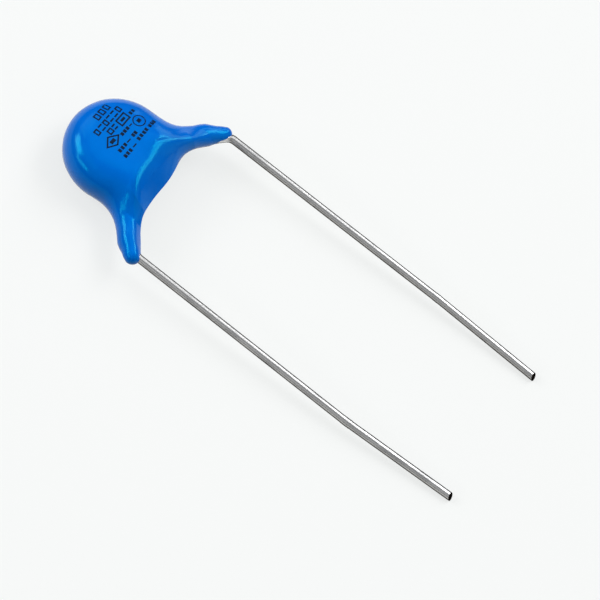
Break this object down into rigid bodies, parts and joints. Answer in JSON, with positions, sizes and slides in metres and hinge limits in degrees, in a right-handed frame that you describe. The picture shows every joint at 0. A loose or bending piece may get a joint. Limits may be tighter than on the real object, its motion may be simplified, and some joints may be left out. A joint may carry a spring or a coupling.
{
  "type": "ceramic disc capacitor",
  "caption": "Round disc dipped in glossy blue epoxy that blends into two splayed legs, with long straight round wire leads.",
  "frame": {"origin": "on the disc's axis, at the surface that the back of the disc lies on", "axes": "+Z out of the marked face of the disc; +Y from the leads' cut ends towards the disc; +X to the right as the marked face is read with the leads down"},
  "size_m": [0.0112, 0.0309, 0.0034],
  "materials": {
    "epoxy_coating": "gloss",
    "fired_ceramic": "matte",
    "fired_silver": "satin",
    "solder": "satin",
    "tinned_wire": "satin"
  },
  "bodies": {
    "root": {"coating": "epoxy_coating", "ceramic_disc": "fired_ceramic", "electrode_front": "fired_silver", "electrode_back": "fired_silver", "solder_front": "solder", "solder_back": "solder", "lead_left": "tinned_wire", "lead_right": "tinned_wire"}
  },
  "joints": []
}
